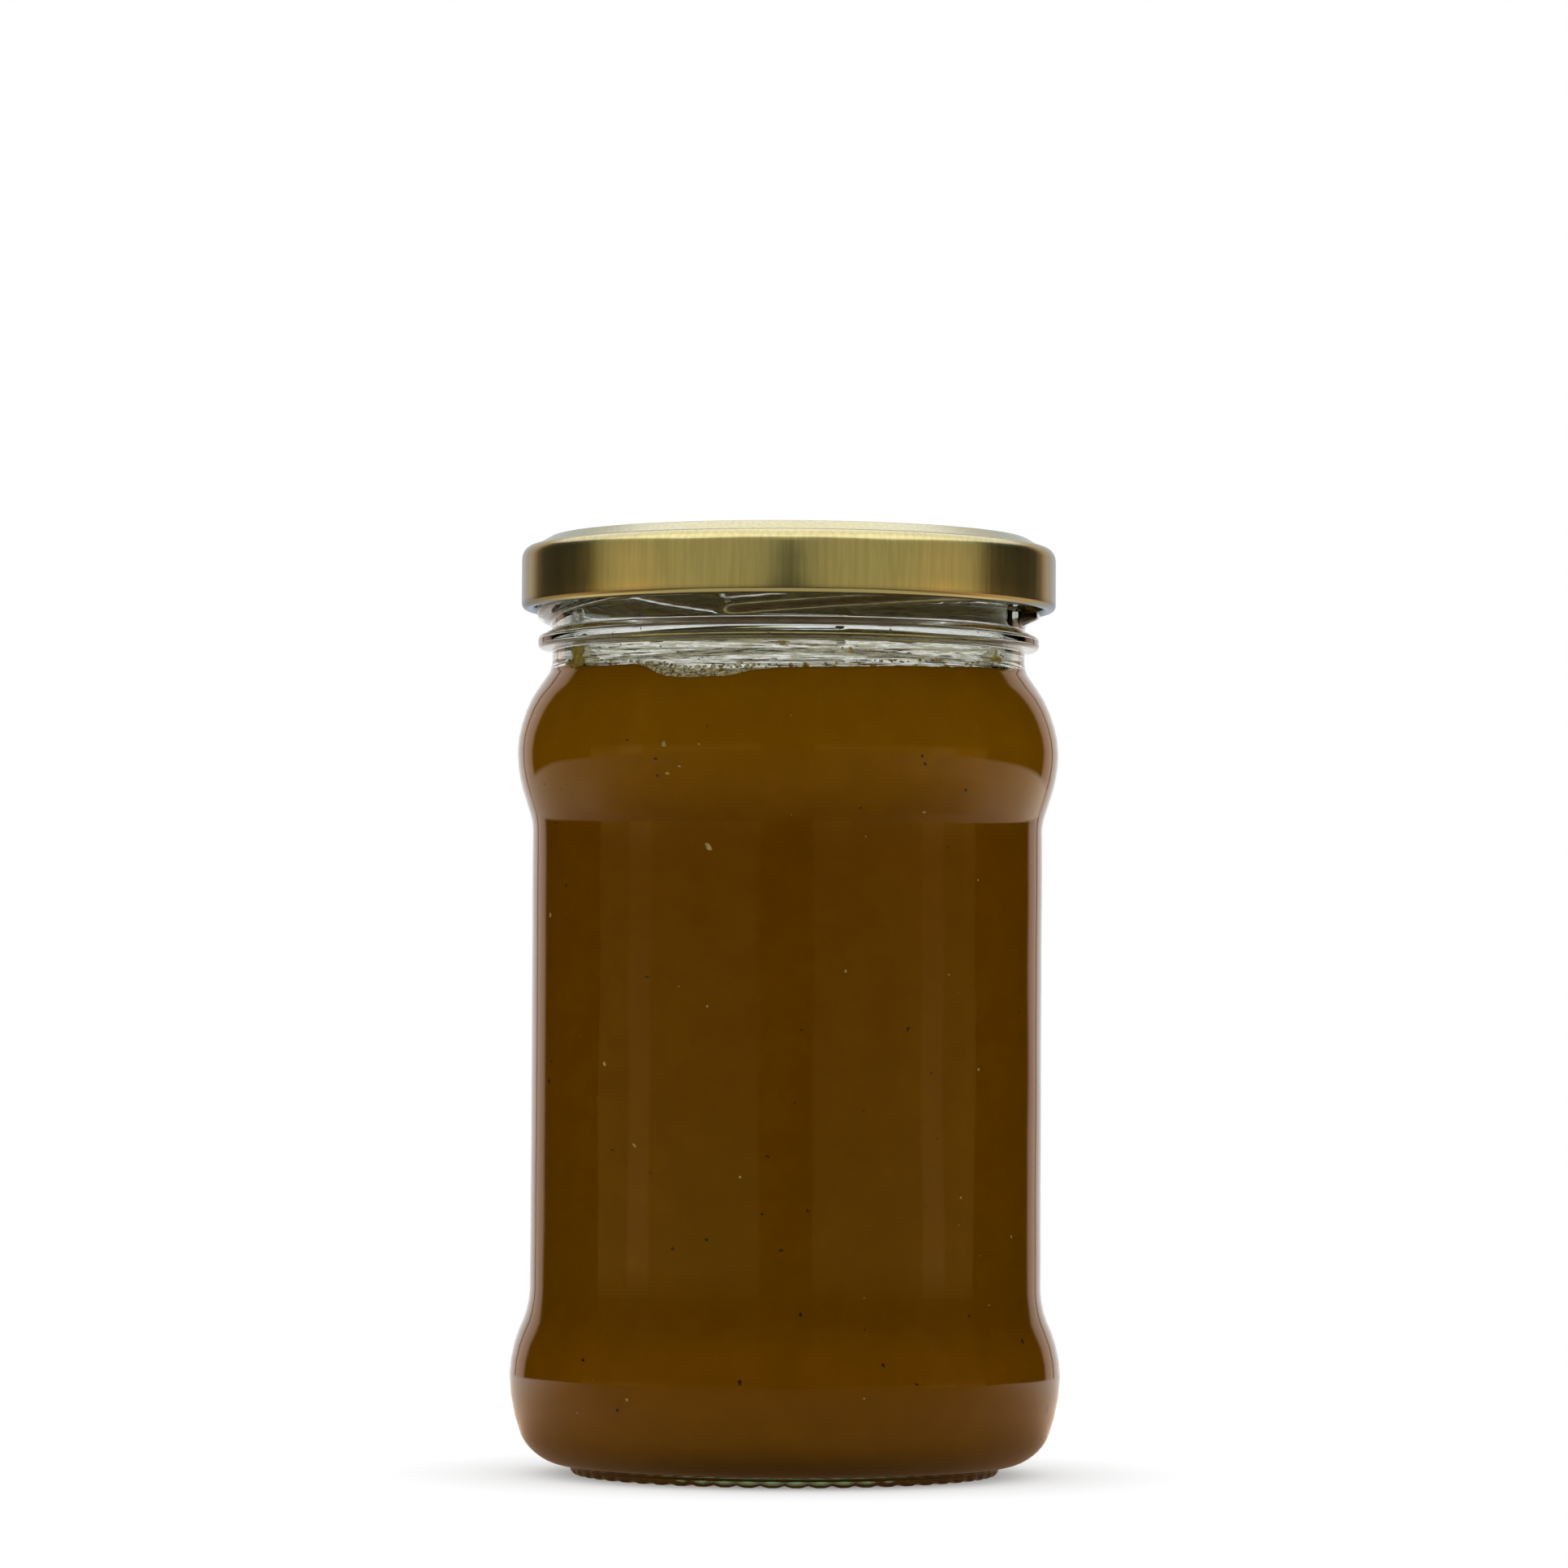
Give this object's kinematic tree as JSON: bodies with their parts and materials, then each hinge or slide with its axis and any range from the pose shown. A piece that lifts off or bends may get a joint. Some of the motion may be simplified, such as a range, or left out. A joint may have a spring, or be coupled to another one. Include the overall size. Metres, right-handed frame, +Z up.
{
  "type": "twist-off glass jar with sauce",
  "caption": "Filled food jar of clear glass with a swelling shoulder and base, straight waist, lug finish and a gold-lacquered twist-off lid.",
  "frame": {"origin": "on the jar's axis in the plane that its foot stands on", "axes": "+Z up along the jar's axis, -Y towards the front, where the dip in the contents shows"},
  "size_m": [0.0718, 0.0718, 0.1222],
  "materials": {
    "clear_glass": "clear, smooth, faintly green where it is thick",
    "gold_lacquer": "satin gold lacquer on tinplate",
    "sealing_compound": "smooth off-white plastisol",
    "brown_sauce": "wet smooth puree, brown olive"
  },
  "bodies": {
    "root": {"glass_jar": "clear_glass", "twist_lid": "gold_lacquer", "sealing_ring": "sealing_compound", "sauce": "brown_sauce"}
  },
  "joints": []
}
